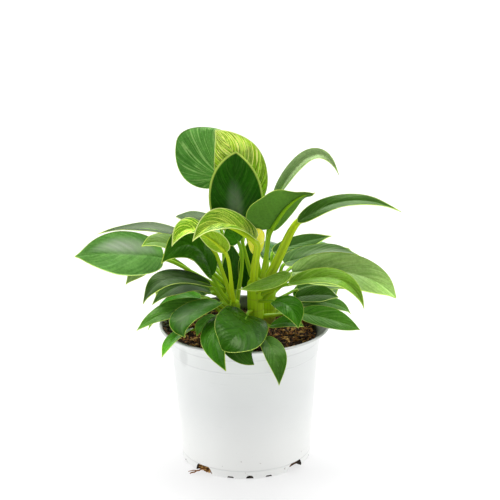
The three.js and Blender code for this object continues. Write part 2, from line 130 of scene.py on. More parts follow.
class Nodes:
    """Short calls for building one material's node tree."""

    def __init__(self, name):
        self.material = bpy.data.materials.new(name)
        self.material.use_nodes = True
        self.tree = self.material.node_tree
        self.shader = self.tree.nodes["Principled BSDF"]

    def node(self, kind, **settings):
        made = self.tree.nodes.new(kind)
        for key, value in settings.items():
            setattr(made, key, value)
        return made

    def put(self, socket, value):
        if isinstance(value, bpy.types.NodeSocket):
            self.tree.links.new(value, socket)
        else:
            socket.default_value = value

    def set(self, **values):
        for key, value in values.items():
            self.put(self.shader.inputs[key.replace("_", " ")], value)

    def math(self, operation, a, b=0.0, c=None):
        made = self.node("ShaderNodeMath", operation=operation)
        self.put(made.inputs[0], a)
        self.put(made.inputs[1], b)
        if c is not None:
            self.put(made.inputs[2], c)
        return made.outputs[0]

    add = partialmethod(math, "ADD")
    sub = partialmethod(math, "SUBTRACT")
    mul = partialmethod(math, "MULTIPLY")
    div = partialmethod(math, "DIVIDE")
    muladd = partialmethod(math, "MULTIPLY_ADD")

    def ramp(self, value, low, high, start=0.0, end=1.0):
        made = self.node("ShaderNodeMapRange", interpolation_type="SMOOTHSTEP")
        for index, given in enumerate((value, low, high, start, end)):
            self.put(made.inputs[index], given)
        return made.outputs[0]

    def blend(self, factor, a, b, how="MIX"):
        made = self.node("ShaderNodeMix", data_type="RGBA", blend_type=how)
        self.put(made.inputs[0], factor)
        for index, given in ((6, a), (7, b)):
            if not isinstance(given, bpy.types.NodeSocket) and len(given) == 3:
                given = (*given, 1.0)
            self.put(made.inputs[index], given)
        return made.outputs[2]

    def value(self, name):
        return self.node("ShaderNodeAttribute", attribute_name=name).outputs["Fac"]

    def split(self, vector):
        made = self.node("ShaderNodeSeparateXYZ")
        self.put(made.inputs[0], vector)
        return made.outputs

    def uv(self):
        return self.split(self.node("ShaderNodeUVMap", uv_map="surface").outputs[0])[:2]

    def place(self, x=0.0, y=0.0, z=0.0):
        made = self.node("ShaderNodeCombineXYZ")
        for index, given in enumerate((x, y, z)):
            self.put(made.inputs[index], given)
        return made.outputs[0]

    def where(self):
        return self.node("ShaderNodeTexCoord").outputs["Object"]

    def noise(self, vector, scale, detail=2.0, roughness=0.5):
        made = self.node("ShaderNodeTexNoise")
        self.put(made.inputs["Vector"], vector)
        self.put(made.inputs["Scale"], scale)
        self.put(made.inputs["Detail"], detail)
        self.put(made.inputs["Roughness"], roughness)
        return made.outputs["Fac"]

    def bump(self, height, strength, distance):
        made = self.node("ShaderNodeBump")
        self.put(made.inputs["Height"], height)
        self.put(made.inputs["Strength"], strength)
        self.put(made.inputs["Distance"], distance)
        self.put(self.shader.inputs["Normal"], made.outputs[0])


# ---- sizes, as in the part

POT = {"height": 116, "foot": 53, "top": 61.5, "wall": 1.6, "floor": 2.5, "lip": 70, "lip_edge": 1.6,
       "lip_outer": 110.4, "lip_inner": 108.8, "collar": 105.2, "ridge": 94, "ridge_step": 0.9}
SOIL = {"rim": 106.5, "crown": 109.5, "socket": 22}
CROWNS = [
    {"at": (9, -8), "radius": 7, "top": 157},
    {"at": (-8, -12), "radius": 5, "top": 140},
    {"at": (20, 11), "radius": 6, "top": 150},
    {"at": (-10, 15), "radius": 6, "top": 152},
]

# What a leaf has where its row below doesn't say otherwise. left: width of the left half over the right;
# fold: how far the sides are raised, in degrees; lobe: how far the lobes reach back; widest: where the
# blade is widest; blunt: how round the tip is; twist: turn of the blade at its base, in degrees;
# stalk: its radius; bend: a point that it passes near; cut: where a blade without its tip ends;
# stem: the stalk's material; lean: how far the side veins bend forward; rim: width of the pale margin;
# dusk: how much darker the blade is at its tip; fan: 1 where the veins fan out straight; spine: how
# strongly the midrib is coloured; painted sheen: where along and across the blade the pale painted
# highlight lies, how long, wide and strong it is
USUAL = {"left": 1, "fold": 10, "lobe": 0.04, "widest": 0.42, "blunt": 0, "twist": 0, "stalk": 1.7,
         "bend": None, "cut": None, "stem": None, "lean": 0.24, "rim": 1, "dusk": 0, "fan": 0, "spine": 1,
         "bloom": (0, 0, 1, 1, 0)}
LEAVES = []


def leaf(look, crown, base, mid, tip, face, half, shade, **rest):
    """look: the blade's material; crown: which crown, bearing and height of the stalk's root; base, mid
    and tip: points of the midrib; face: the way that the upper side looks; half: half of the width;
    shade: brightness, partly the leaf's own tone and partly painted light and shade for how light falls on
    that leaf. The leaves are numbered in the order of their rows."""
    row = {"look": look, "crown": crown, "base": base, "mid": mid, "tip": tip, "face": face, "half": half}
    LEAVES.append({**USUAL, **row, "shade": shade, **rest})


# tall leaves at the top
leaf("veined", (3, 110, 150), (-22, 20, 224), (-23, 31, 246), (-17, 45, 267), (-0.2, -0.9, 0.35), 12, 1.05,
     left=2.75, fold=8, lobe=0, widest=0.64, blunt=0.8, bend=(-12, 30, 185), lean=0.35, fan=1)
leaf("gold", (2, 165, 149), (0, 14, 210), (-3, 14, 243), (-22, 8, 275), (0.1, -1, 0.1), 21.5, 1.9, fold=12,
     blunt=0.3, rim=1.8)
leaf("dark", (0, 120, 156), (-3, -5, 197), (-6, -2, 228), (-5, 6, 258), (0, -1, 0.2), 23, 1, fold=20,
     widest=0.34, blunt=0.55, bloom=(0.3, 0.05, 0.4, 0.4, 0.4), rim=4, spine=0.3)
leaf("green", (0, -25, 156), (22, -6, 197), (36, -20, 221), (55, -46, 236), (-0.2, 0.65, 0.7), 28, 1.05,
     left=0.4, fold=6, lobe=0.12, widest=0.26, blunt=1, stalk=2, bend=(19, -3, 176), dusk=0.5)
leaf("lime", (0, -100, 156), (10, -22, 193), (-15, -32, 209), (-40, -46, 198), (-0.1, -0.5, 0.85), 13, 0.85,
     fold=25, stalk=3, dusk=-0.25, rim=1.6)
leaf("misty", (2, 110, 149), (27, 12, 219), (54, 9, 252), (77, 0, 237), (0.3, -0.6, 0.75), 7, 1.3, fold=25,
     widest=0.22, lean=6, rim=0.8)
leaf("grey", (0, 10, 148), (43, -6, 202), (81, 0, 217), (128, 0, 207), (0, -0.5, 0.85), 7.5, 0.9, fold=12,
     lobe=0, widest=0.35, twist=35, stalk=3.2, stem="lime", spine=0.4)
# left side
leaf("lime", (1, 120, 139), (-25, -8, 183), (-41, -16, 200), (-57, -26, 188), (-0.2, -0.5, 0.85), 10.5, 1.3,
     fold=25, rim=1.7)
leaf("green", (1, 175, 136), (-26, -6, 158), (-40, -14, 186), (-66, -26, 174), (-0.3, -0.6, 0.7), 17, 0.72)
leaf("lime", (1, 260, 139), (-14, -30, 185), (-23, -33, 195), (-37, -34, 204), (0.1, 0.9, 0.3), 8.5, 1.25,
     blunt=0.3, rim=1.7)
leaf("grey", (3, 130, 138), (-22, 40, 190), (-40, 45, 192), (-57, 50, 192), (0, -0.15, 1), 10, 0.45,
     blunt=0.7)
leaf("grey", (3, 150, 146), (-45, 40, 174), (-79, 50, 182), (-125, 58, 175), (0, -0.1, 1), 10, 0.38,
     bloom=(0.5, 0, 0.6, 1, 0.12))
leaf("soft", (3, 190, 138), (-66, 5, 170), (-99, -5, 177), (-136, -12, 177), (0.05, -0.75, 0.65), 19.5,
     1.05, fold=5, bloom=(0.46, -0.36, 0.42, 0.5, 0.85), spine=0.5)
leaf("fresh", (3, 210, 144), (-32, 2, 165), (-59, -4, 184), (-82, -10, 184), (0, -0.3, 0.95), 12, 0.44,
     dusk=-0.5)
leaf("pale", (3, 165, 130), (-70, 34, 164), (-84, 36, 155), (-100, 38, 136), (0.2, -0.8, 0.6), 9, 0.8)
leaf("grey", (1, 215, 130), (-27, -12, 152), (-58, -28, 163), (-80, -40, 145), (-0.3, -0.45, 0.85), 11,
     0.55, bloom=(0.7, 0.2, 0.4, 0.8, 0.1), rim=0.7)
leaf("grey", (3, 240, 134), (-28, -4, 144), (-49, -13, 152), (-74, -26, 140), (-0.3, -0.4, 0.85), 13, 0.95,
     bloom=(0.5, 0.2, 0.5, 0.8, 0.06), rim=0.7)
leaf("grey", (1, 180, 122), (-27, -14, 136), (-57, -30, 137), (-86, -42, 124), (-0.3, -0.5, 0.8), 10, 2.2,
     rim=0.7)
leaf("green", (3, 200, 122), (-36, 10, 134), (-59, 8, 130), (-80, 4, 108), (-0.3, -0.2, 0.9), 11, 1.2,
     rim=0.7)
leaf("green", (1, 250, 132), (-20, -26, 142), (-45, -48, 138), (-46, -58, 124), (-0.5, -0.6, 0.6), 13, 0.85,
     bloom=(0.5, 0, 0.6, 1, 0.2), rim=0.7)
leaf("green", (1, 205, 116), (-43, -34, 123), (-55, -50, 121), (-65, -63, 109), (-0.5, -0.4, 0.8), 7.5, 2,
     stalk=1.2, bend=(-28, -26, 114))
leaf("grey", (1, 235, 124), (-24, -26, 131), (-32, -34, 127), (-38, -42, 119), (-0.5, -0.5, 0.7), 7, 3.1,
     stalk=1.2)
# front
leaf("green", (1, 265, 124), (-16, -32, 134), (-23, -60, 127), (-14, -86, 106), (-0.4, -0.8, 0.4), 12, 0.95,
     blunt=0.1, rim=0.8, spine=0.3)
leaf("green", (0, 235, 130), (2, -44, 137), (-4, -78, 137), (-17, -97, 128), (0.1, -0.8, 0.6), 20.5, 0.52,
     fold=3, lobe=0.3, widest=0.4, blunt=0.55, stalk=1.3, rim=0.5, spine=0)
leaf("grey", (1, 285, 116), (-14, -58, 125), (1, -73, 119), (24, -75, 115), (0.1, -0.9, 0.4), 12, 1.15,
     cut=0.62)
leaf("grey", (0, 270, 122), (15, -57, 123), (23, -78, 117), (26, -89, 95), (0.3, -0.9, 0.3), 9, 1.15,
     stalk=1.3, rim=0.6, spine=0)
leaf("green", (0, 300, 138), (24, -30, 144), (36, -44, 143), (42, -52, 128), (0.3, -0.8, 0.5), 10, 1.1,
     stalk=1.3, rim=0.6)
leaf("green", (0, 310, 118), (21, -34, 125), (34, -42, 130), (47, -44, 127), (0, -0.3, 0.9), 8, 1.1,
     stalk=1.2, rim=0.6)
# right side
leaf("grey", (0, 350, 124), (45, -10, 127), (69, -22, 125), (93, -26, 117), (0.2, -0.6, 0.75), 10.5, 2.1,
     rim=0.6)
leaf("grey", (2, 20, 118), (46, 20, 124), (71, 24, 123), (89, 26, 112), (0, -0.4, 0.9), 8, 1.2, stalk=1.2,
     rim=0.6)
leaf("grey", (2, -30, 126), (42, 4, 135), (60, 2, 138), (77, 0, 136), (0, -0.5, 0.85), 9, 1, stalk=1.4,
     rim=0.6)
leaf("grey", (2, 5, 130), (44, 18, 138), (67, 21, 141), (89, 22, 134), (0, -0.4, 0.9), 8, 1, stalk=1.4,
     rim=0.6)
leaf("dark", (2, 40, 136), (46, 32, 148), (61, 38, 146), (72, 44, 139), (0, -0.4, 0.9), 10, 1, stalk=1.4,
     rim=0.6)
leaf("pale", (0, -20, 138), (39, -6, 160), (86, -14, 161), (122, -20, 141), (0.15, -0.65, 0.75), 17, 1.05,
     blunt=0.25, dusk=-1)
leaf("fresh", (0, -38, 144), (36, -22, 156), (72, -32, 162.5), (95, -38, 138), (0.3, -0.6, 0.75), 8.5, 0.85,
     fold=18)
leaf("grey", (2, -10, 142), (33, 10, 163), (61, 14, 168), (95, 10, 168), (0, -0.4, 0.9), 12.5, 0.8,
     blunt=0.2, bloom=(0.75, 0, 0.5, 0.9, 0.6), rim=0.7)
leaf("soft", (2, 50, 142), (24, 24, 168), (46, 32, 173), (74, 36, 178), (0, -0.8, 0.6), 7, 0.5)
# middle
leaf("fresh", (0, -80, 146), (36, -26, 166), (19, -37, 160), (-5, -48, 160), (0, -0.3, 0.95), 8, 0.9,
     stalk=1.4)
leaf("dark", (1, 60, 132), (-8, 6, 142), (-9, 6, 160), (-10, 6, 183), (0, -1, 0.1), 9, 1, stalk=1.4)
leaf("dark", (0, 130, 140), (3, 2, 143), (3, 2, 163), (3, 2, 184), (0, -1, 0.1), 8, 1, stalk=1.4)
leaf("green", (1, 60, 136), (-4, -13, 188), (-8, -12, 194), (-11, -10, 203), (0, -0.8, 0.6), 9, 1)
leaf("young", (0, 60, 154), (10, -11, 177), (10, -12, 188), (11, -15, 200), (0, -1, 0.1), 7, 1.5, fold=-15,
     widest=0.6, blunt=0.9)
# back
leaf("green", (3, 60, 151), (0, 34, 180), (2, 56, 197), (4, 86, 188), (0, -0.1, 1), 17, 1)
leaf("dark", (3, 165, 136), (-40, 34, 163), (-68, 56, 170), (-100, 80, 158), (-0.2, 0.2, 1), 17, 1)
leaf("green", (2, 62, 132), (40, 44, 150), (67, 66, 158), (96, 90, 142), (0.2, 0.2, 1), 17, 1)
leaf("dark", (3, 95, 138), (-8, 42, 140), (-14, 68, 146), (-20, 104, 124), (0, 0.4, 1), 15, 1)
leaf("green", (2, 45, 120), (44, 36, 124), (64, 54, 129), (80, 78, 112), (0.3, 0.3, 1), 13, 1)
leaf("grey", (3, 135, 120), (-34, 36, 127), (-57, 54, 131), (-78, 76, 110), (-0.3, 0.3, 1), 13, 1)
leaf("dark", (3, 100, 124), (-22, 50, 122), (-32, 76, 125), (-38, 100, 104), (-0.1, 0.4, 1), 12, 1)
leaf("green", (2, 85, 126), (8, 50, 124), (16, 78, 127), (22, 103, 106), (0.1, 0.4, 1), 13, 1)
leaf("banded", (3, 110, 132), (-24, 44, 164), (-34, 70, 176), (-46, 100, 164), (-0.1, 0.2, 1), 13, 1)
leaf("dark", (2, 95, 146), (20, 40, 156), (29, 68, 161), (38, 99, 143), (0.1, 0.2, 1), 13, 1)

# ---- leaf materials
# Each leaf carries at its points: uv (along the midrib, across), edge and rib (millimetres to the margin
# and to the midrib), under (1 on the underside) and seed (a number of its own). What its row says of
# lean, shade, rim, dusk, fan, spine and the painted sheen is the same at all its points.

MARGIN = (0.64, 0.82, 0.14)


def leaf_material(name, base, deep, stripe, amount, under, roughness, lines=(30, 0.06), margin=MARGIN):
    """base and deep: the green and its darker patches; stripe and amount: the pinstripes, and how strong
    they are; under: the underside; lines: how many pinstripes there are, and how wide they are."""
    n = Nodes(name)
    along, v = n.uv()
    across = n.muladd(v, 2.0, -1.0)
    out = n.math("ABSOLUTE", across)
    half = n.math("GREATER_THAN", across, 0.0)
    seed = n.value("seed")
    lower = n.value("under")
    # lateral veins leave the midrib and bend towards the tip
    lean = n.value("lean")
    bent = n.muladd(n.mul(out, out), 0.06, n.mul(out, lean))
    vein = n.sub(along, bent)
    # on some blades the veins fan out straight from the base
    spread = n.mul(out, n.math("SINE", n.mul(along, 3.0)))
    fan = n.math("ARCTAN2", n.sub(n.muladd(spread, -0.35, along), 0.25), n.add(spread, 0.25))
    vein = n.muladd(n.sub(fan, vein), n.value("fan"), vein)
    lane = n.muladd(half, 5.3, seed)

    def stripes(count, width, drift):
        """Thin lines where a field of waves across the veins passes its middle value."""
        spot = n.place(n.mul(vein, count), lane, n.mul(out, drift))
        off = n.math("ABSOLUTE", n.sub(n.noise(spot, 1.0, 0.0), 0.5))
        return n.ramp(off, width, 0.3 * width)

    wide = stripes(*lines, 0.5)
    fine = n.mul(stripes(2.2 * lines[0], 0.8 * lines[1], 0.8), 0.4)
    marks = n.math("MAXIMUM", wide, fine)
    fade = n.ramp(out, 1.02, 0.72, 0.35, 1.0)
    marks = n.mul(n.mul(marks, fade), amount)
    where = n.where()
    streaks = n.noise(n.place(n.mul(vein, 26.0), lane, n.mul(out, 1.2)), 1.0, 2.0)
    cloudy = n.noise(where, 55.0, 3.0, 0.6)
    patches = n.ramp(n.add(n.mul(cloudy, 0.45), n.mul(streaks, 0.55)), 0.38, 0.62)
    body = n.blend(patches, base, deep)
    body = n.blend(marks, body, stripe)
    rib_width = n.sub(1.25, along)
    rib = n.ramp(n.div(n.value("rib"), rib_width), 0.50, 0.15)
    rib = n.mul(rib, n.value("spine"))
    body = n.blend(n.mul(rib, 0.04 + 0.6 * amount), body, stripe)
    below = n.blend(n.mul(patches, 0.5), under, tuple(0.72 * c for c in under))
    below = n.blend(n.mul(marks, 0.45), below, stripe)
    below = n.blend(n.mul(rib, 0.3), below, tuple(0.6 * c for c in MARGIN))
    colour = n.blend(lower, body, below)
    # a few pale flecks, where a leaf has been rubbed
    flecks = n.ramp(n.noise(where, 900.0, 1.0), 0.74, 0.80)
    colour = n.blend(n.mul(flecks, 0.35), colour, stripe)
    dusk = n.mul(n.ramp(along, 0.55, 0.95), n.value("dusk"))
    # shade, partly own tone and partly painted light: the upper side takes all of it, the underside at most
    # 1.1
    bright = n.value("shade")
    bright = n.muladd(lower, n.sub(n.math("MINIMUM", bright, 1.1), bright), bright)
    mottle = n.ramp(n.noise(where, 480.0, 3.0, 0.7), 0.30, 0.70, 0.87, 1.13)
    shade = n.mul(n.mul(bright, mottle), n.sub(1.0, dusk))
    colour = n.blend(1.0, colour, n.place(shade, shade, shade), "MULTIPLY")
    # painted sheen: a pale painted highlight, strongest round one place on the blade
    far = n.div(n.sub(along, n.value("bloom_along")), n.value("bloom_long"))
    wide_of = n.div(n.sub(across, n.value("bloom_across")), n.value("bloom_wide"))
    off = n.math("SQRT", n.add(n.mul(far, far), n.mul(wide_of, wide_of)))
    bloom = n.mul(n.ramp(off, 1.0, 0.1), n.muladd(streaks, 0.8, 0.55))
    bloom = n.mul(n.mul(bloom, n.value("bloom")), n.sub(1.0, lower))
    colour = n.blend(bloom, colour, (0.40, 0.48, 0.34))
    edge = n.ramp(n.div(n.value("edge"), n.value("rim")), 0.54, 0.20)
    colour = n.blend(n.mul(edge, 0.75), colour, margin)
    wave = n.math("SINE", n.mul(vein, 72.0))
    relief = n.muladd(wave, 0.35, n.mul(marks, 0.5))
    relief = n.add(relief, n.mul(n.noise(where, 700.0, 3.0, 0.6), 0.8))
    n.bump(relief, 0.18, 0.0005)
    gloss = n.ramp(n.noise(where, 90.0, 2.0), 0.3, 0.7, roughness - 0.06, roughness + 0.04)
    gloss = n.muladd(lower, 0.18, gloss)
    n.set(Base_Color=colour, Roughness=gloss, Specular_IOR_Level=0.14, Specular_Tint=(0.80, 1.0, 0.50, 1.0),
          Subsurface_Weight=0.08, Subsurface_Radius=(0.5, 1.0, 0.2), Subsurface_Scale=0.0012)
    return n.material


def stalk_material(name, low, high, groove):
    n = Nodes(name)
    along, around = n.uv()
    where = n.where()
    tone = n.ramp(along, 0.0, 0.85)
    colour = n.blend(tone, low, high)
    ribs = n.noise(n.place(n.mul(along, 1.2), n.mul(around, 26.0), n.value("seed")), 1.0, 2.0)
    colour = n.blend(n.mul(n.ramp(ribs, 0.45, 0.66), 0.50), colour, tuple(0.55 * c for c in high))
    # painted shade: the channel along the top of the stalk is painted darker with the groove colour
    inner = n.ramp(n.value("edge"), 0.2, 0.9)
    colour = n.blend(n.mul(inner, 0.6), colour, groove)
    flecks = n.ramp(n.noise(where, 700.0, 1.0), 0.70, 0.76)
    colour = n.blend(n.mul(flecks, 0.25), colour, (0.55, 0.66, 0.25))
    n.bump(n.add(ribs, n.mul(n.noise(where, 800.0, 2.0), 0.3)), 0.25, 0.0004)
    n.set(Base_Color=colour, Roughness=n.ramp(ribs, 0.3, 0.7, 0.36, 0.50), Specular_IOR_Level=0.25,
          Subsurface_Weight=0.12, Subsurface_Radius=(0.6, 1.0, 0.2), Subsurface_Scale=0.0015)
    return n.material


BLADES = {}


def look(name, *given, **rest):
    BLADES[name] = leaf_material(f"leaf_{name}", *given, **rest)


look("dark", (0.018, 0.11, 0.003), (0.01, 0.068, 0.002), (0.14, 0.3, 0.05), 0.16, (0.085, 0.19, 0.02), 0.28)
look("grey", (0.044, 0.135, 0.01), (0.026, 0.092, 0.006), (0.19, 0.32, 0.09), 0.22, (0.11, 0.2, 0.035),
     0.36)
look("green", (0.046, 0.19, 0.005), (0.024, 0.12, 0.003), (0.14, 0.38, 0.05), 0.25, (0.1, 0.24, 0.03), 0.29)
look("soft", (0.125, 0.3, 0.06), (0.08, 0.22, 0.038), (0.2, 0.42, 0.1), 0.15, (0.13, 0.27, 0.045), 0.33)
look("banded", (0.055, 0.205, 0.026), (0.026, 0.12, 0.012), (0.42, 0.62, 0.2), 0.75, (0.13, 0.27, 0.045),
     0.33)
look("veined", (0.078, 0.23, 0.036), (0.046, 0.155, 0.02), (0.32, 0.52, 0.16), 0.55, (0.13, 0.27, 0.045),
     0.33, lines=(20, 0.035))
look("pale", (0.215, 0.345, 0.085), (0.15, 0.275, 0.055), (0.4, 0.56, 0.22), 0.22, (0.21, 0.35, 0.1), 0.36)
look("misty", (0.19, 0.29, 0.1), (0.09, 0.18, 0.04), (0.5, 0.62, 0.33), 0.6, (0.21, 0.35, 0.1), 0.36,
     lines=(3.5, 0.09))
look("lime", (0.11, 0.3, 0.004), (0.045, 0.16, 0.002), (0.76, 0.9, 0.12), 0.95, (0.23, 0.43, 0.01), 0.33,
     lines=(40, 0.06), margin=(0.84, 0.94, 0.32))
look("gold", (0.34, 0.5, 0.025), (0.11, 0.21, 0.004), (0.92, 0.9, 0.3), 0.85, (0.23, 0.43, 0.01), 0.33,
     lines=(40, 0.06), margin=(0.84, 0.94, 0.32))
look("fresh", (0.19, 0.4, 0.025), (0.12, 0.29, 0.012), (0.45, 0.66, 0.14), 0.35, (0.23, 0.43, 0.06), 0.34)
look("young", (0.8, 0.74, 0.05), (0.62, 0.62, 0.02), (0.85, 0.88, 0.42), 0.6, (0.72, 0.78, 0.2), 0.33,
     margin=(0.8, 0.84, 0.2))
# each stalk: colour at its root, colour at its blade, and the darker colour painted into its channel as
# painted shade
STALKS = {
    "green": stalk_material("stalk_green", (0.38, 0.58, 0.012), (0.24, 0.48, 0.008), (0.12, 0.30, 0.010)),
    "lime": stalk_material("stalk_lime", (0.50, 0.72, 0.010), (0.50, 0.68, 0.010), (0.34, 0.54, 0.010)),
}

# ---- leaf blade
# The same midrib and outline as the solids, in a finer grid.

# mid_at: where along the midrib its middle point lies; to: where the blade's last row lies
BLADE = {"thickness": 0.55, "mid_at": 0.45, "to": 0.985, "ripple": 0.035, "groove": 0.22, "groove_width": 0.9}


def bezier(points, t):
    points = list(points)
    while len(points) > 1:
        points = [mix(a, b, t) for a, b in zip(points, points[1:])]
    return points[0]


def margin_point(t, leaf):
    lobe, blunt, widest = leaf["lobe"], leaf["blunt"], leaf["widest"]
    if t < widest:
        curve = ((0, 0), (-lobe, 0.5), (0.24 * widest - 0.6 * lobe, 1), (widest, 1))
        return bezier([Vector(p) for p in curve], t / widest)
    curve = ((widest, 1), (mix(widest, 1, 0.48), 1),
             (mix(widest, 1, 0.76 + 0.12 * blunt), 0.2 + 0.5 * blunt), (1, 0))
    return bezier([Vector(p) for p in curve], (t - widest) / (1 - widest))


class Midrib:
    """The curve through base, mid and tip, with a frame at each of its steps."""

    steps = 20

    def __init__(self, leaf):
        base, mid, tip = (Vector(leaf[key]) for key in ("base", "mid", "tip"))
        t = BLADE["mid_at"]
        control = (mid - base * (1 - t) ** 2 - tip * t ** 2) / (2 * t * (1 - t))
        self.points, self.tangents = [], []
        for i in range(self.steps + 1):
            s = i / self.steps
            self.points.append(bezier((base, control, tip), s))
            self.tangents.append(mix(control - base, tip - control, s).normalized())
        middle = round(t * self.steps)
        self.normals = [None] * (self.steps + 1)
        self.normals[middle] = self.level(Vector(leaf["face"]), middle)
        for i in range(middle + 1, self.steps + 1):
            self.normals[i] = self.level(self.normals[i - 1], i)
        for i in range(middle - 1, -1, -1):
            self.normals[i] = self.level(self.normals[i + 1], i)
        twist = math.radians(leaf["twist"])
        for i in range(middle):
            share = 1 - i / middle
            self.normals[i].rotate(Quaternion(self.tangents[i], twist * share * share))
        self.length = (self.points[-1] - self.points[0]).length

    def level(self, normal, i):
        tangent = self.tangents[i]
        return (normal - tangent * normal.dot(tangent)).normalized()

    def at(self, s):
        place = clamp(s) * self.steps
        i = min(int(place), self.steps - 1)
        f = place - i
        point = mix(self.points[i], self.points[i + 1], f)
        if s < 0:
            point = point + self.tangents[0] * (s * self.length)
        normal = mix(self.normals[i], self.normals[i + 1], f)
        tangent = mix(self.tangents[i], self.tangents[i + 1], f)
        return point, normal, normal.cross(tangent)


class Builder:
    """Gathers points, faces and their values for one piece."""

    def __init__(self):
        self.points, self.faces, self.uvs, self.slots = [], [], [], []
        self.layers = {"edge": [], "rib": [], "under": [], "seed": []}
        self.even = {}

    def add(self, point, uv=(0, 0), edge=9.0, rib=9.0, under=0.0, seed=0.0):
        self.points.append(point)
        self.uvs.append(uv)
        for key, value in (("edge", edge), ("rib", rib), ("under", under), ("seed", seed)):
            self.layers[key].append(value)
        return len(self.points) - 1

    def face(self, corners, slot=0):
        self.faces.append(corners)
        self.slots.append(slot)

    def tube(self, rings, slot=0, clockwise=False):
        """Joins closed rings of points into a tube with both ends closed."""
        for a, b in zip(rings, rings[1:]):
            for k in range(len(a)):
                m = (k + 1) % len(a)
                self.face((a[k], b[k], b[m], a[m]) if clockwise else (a[k], a[m], b[m], b[k]), slot)
        step = 1 if clockwise else -1
        self.face(tuple(rings[0][::step]), slot)
        self.face(tuple(rings[-1][::-step]), slot)

    def make(self, name, materials):
        for key, value in self.even.items():
            self.layers[key] = [value] * len(self.points)
        return mesh_object(name, self.points, self.faces, materials, self.uvs, self.layers, self.slots)


def spread(count):
    """Places across half a blade, closer together at the midrib and at the margin."""
    places = [0.5 - 0.5 * math.cos(math.pi * i / count) for i in range(count + 1)]
    return [mix(i / count, p, 0.6) for i, p in enumerate(places)]


def add_blade(out, leaf, midrib, seed):
    fold = math.radians(leaf["fold"])
    half, left, cut = leaf["half"], leaf["left"], leaf["cut"]
    end = cut or BLADE["to"]
    rows = 44 if midrib.length > 45 else 30
    halves = spread(9 if half > 8 else 7)
    columns = [-v for v in reversed(halves[1:])] + halves
    waves = 1.5 + (seed * 7.1) % 1.3
    ripple = BLADE["ripple"] * half
    sheets = []
    for under in (0, 1):
        sheet = []
        for i in range(rows + 1):
            share = i / rows
            share = mix(share, 0.5 - 0.5 * math.cos(math.pi * share), 0.35)
            t = end * share
            margin = margin_point(t, leaf)
            # the last row closes the tip
            closed = i == rows and not cut
            rib = t ** 1.2
            row = []
            for v in columns:
                a = abs(v)
                s = mix(rib, margin.x, a)
                width = 0.0 if closed else margin.y * half * (left if v > 0 else 1)
                reach = v * width
                point, normal, side = midrib.at(s)
                arch = a * (1.3 - 0.3 * a * a)
                rise = width * arch * math.sin(fold)
                wave = math.sin(TURN * (waves * t + seed) + (2.1 if v > 0 else 0.0))
                rise += ripple * a * a * wave * smooth(0, 0.2, t) * smooth(1, 0.8, t)
                swell = noise.noise(Vector((reach * 0.055, t * midrib.length * 0.045, seed * 3)))
                rise += 0.8 * swell * smooth(0, 6, width * (1 - a))
                groove = math.exp(-((reach / BLADE["groove_width"]) ** 2)) * BLADE["groove"] * (1 - 0.6 * t)
                thick = BLADE["thickness"] * (0.5 - 0.2 * a ** 4)
                rise += -thick - groove * 1.2 if under else thick - groove
                place = point + side * (reach * math.cos(fold)) + normal * rise
                row.append(out.add(place, (t, 0.5 + 0.5 * v), width * (1 - a), abs(reach), under, seed))
            sheet.append(row)
        sheets.append(sheet)
    upper, lower = sheets
    last = len(columns) - 1
    for i in range(rows):
        for j in range(last):
            out.face((upper[i][j], upper[i][j + 1], upper[i + 1][j + 1], upper[i + 1][j])[::-1])
            out.face((lower[i][j], lower[i][j + 1], lower[i + 1][j + 1], lower[i + 1][j]))
        out.face((upper[i][0], lower[i][0], lower[i + 1][0], upper[i + 1][0])[::-1])
        out.face((upper[i][last], lower[i][last], lower[i + 1][last], upper[i + 1][last]))
    for j in range(last):
        out.face((upper[rows][j], upper[rows][j + 1], lower[rows][j + 1], lower[rows][j])[::-1])


# ---- leaf stalk
# It runs on below the blade, where its tail thins out. seat: how far its middle lies below the midrib,
# over its radius; joins and ends: where along the midrib the tail starts and stops.

STALK = {"steps": 30, "tail": 12, "sides": 16, "seat": 0.75, "joins": 0.06, "ends": 0.86}
# its thickness at the root and at the blade over its radius, the depth of its channel and how flat it is;
# stalks from a certain radius on are sheathed
ROUND = {"root": 1.12, "neck": 0.86, "channel": 0.24, "flat": 1.0}
SHEATHED = {"from": 2.5, "root": 1.1, "neck": 0.72, "channel": 0.62, "flat": 1.12}


def stalk_root(leaf):
    index, bearing, height = leaf["crown"]
    crown = CROWNS[index]
    out = Vector((*polar(1, math.radians(bearing)), 0))
    return Vector((*crown["at"], height)) + out * (crown["radius"] - 1), out


def catmull(points, t):
    place = clamp(t) * (len(points) - 1)
    i = min(int(place), len(points) - 2)
    f = place - i
    before = points[i - 1] if i > 0 else points[0] * 2 - points[1]
    after = points[i + 2] if i + 2 < len(points) else points[-1] * 2 - points[-2]
    a, b = points[i], points[i + 1]
    return 0.5 * (2 * a + (b - before) * f + (2 * before - 5 * a + 4 * b - after) * f * f
                  + (3 * a - before - 3 * b + after) * f ** 3)


def stalk_path(leaf, midrib, radius):
    root, out = stalk_root(leaf)
    base = Vector(leaf["base"])
    reach = (root - base).length
    if leaf["bend"]:
        first = Vector(leaf["bend"])
    else:
        first = root.lerp(base, 0.3) + out * (0.12 * reach)
        first.z = mix(root.z, base.z, 0.45)
    arrival = ((base - first).normalized() + midrib.tangents[0]).normalized()
    second = base - arrival * (0.25 * reach)
    points = [bezier((root, first, second, base), t) for t in (0, 0.2, 0.4, 0.6, 0.8)]
    for s in (0, STALK["joins"]):
        point, normal, _ = midrib.at(s)
        points.append(point - normal * (STALK["seat"] * radius))
    return points


